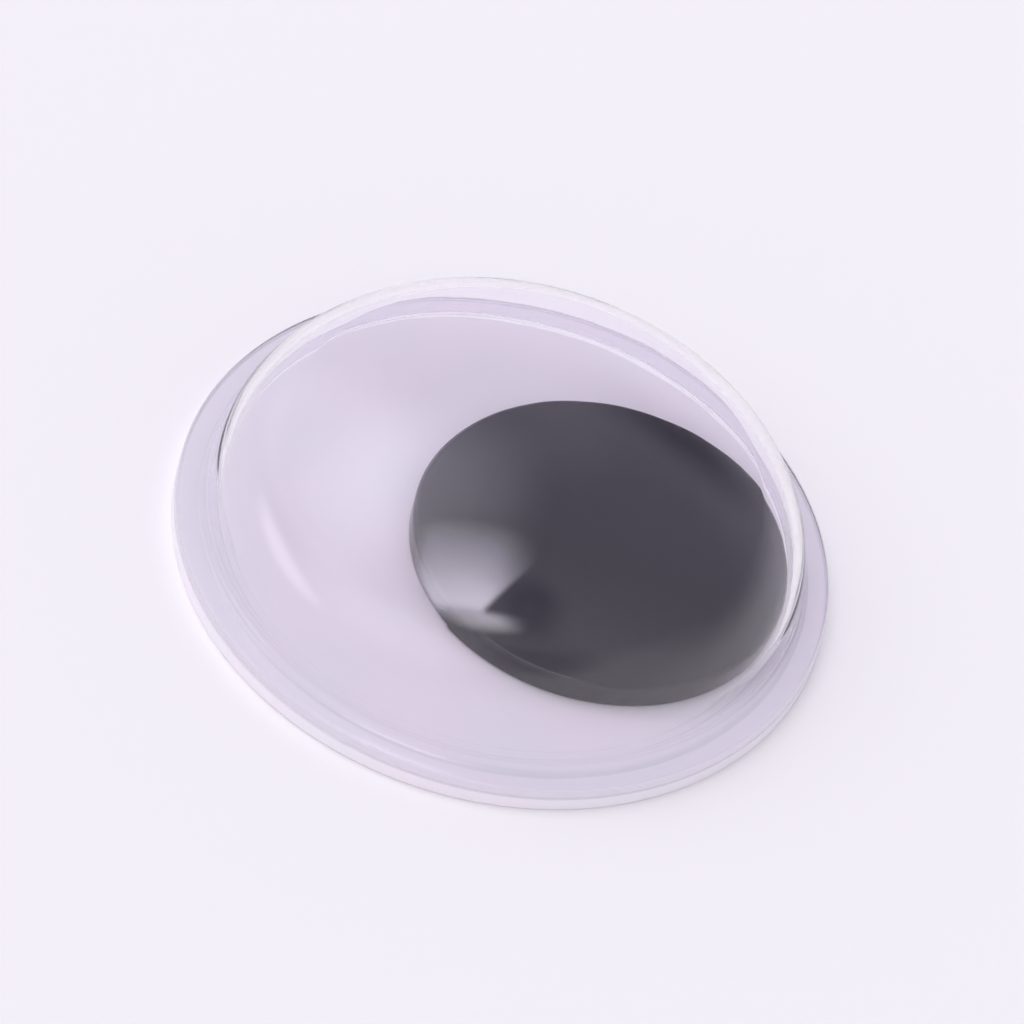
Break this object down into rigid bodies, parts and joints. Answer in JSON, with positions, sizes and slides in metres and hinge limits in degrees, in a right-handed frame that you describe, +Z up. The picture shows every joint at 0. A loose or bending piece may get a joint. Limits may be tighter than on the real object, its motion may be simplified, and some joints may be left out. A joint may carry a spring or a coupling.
{
  "type": "googly eye",
  "caption": "Round craft eye: a clear plastic dome sealed to a white backing disc, with a loose black pupil that slides inside.",
  "frame": {"origin": "centre of the flat underside of the white backing", "axes": "+Z up through the crown of the clear dome, +X from the eye's axis towards the resting pupil"},
  "size_m": [0.015, 0.015, 0.0042],
  "materials": {
    "clear_dome": "clear formed plastic sheet, glossy, with a soft shine on the shoulder",
    "white_backing": "smooth white plastic sheet, soft satin sheen",
    "pupil": "glossy black plastic with rolled edges"
  },
  "bodies": {
    "eye_shell": {"clear_dome": "clear_dome", "white_backing": "white_backing"},
    "loose_pupil": {"pupil": "pupil"}
  },
  "joints": [
    {"name": "pupil_orbit", "type": "hinge", "parent": "eye_shell", "child": "loose_pupil", "pos_m": [0, 0, 0], "axis": [0, 0, 1], "continuous": true}
  ]
}
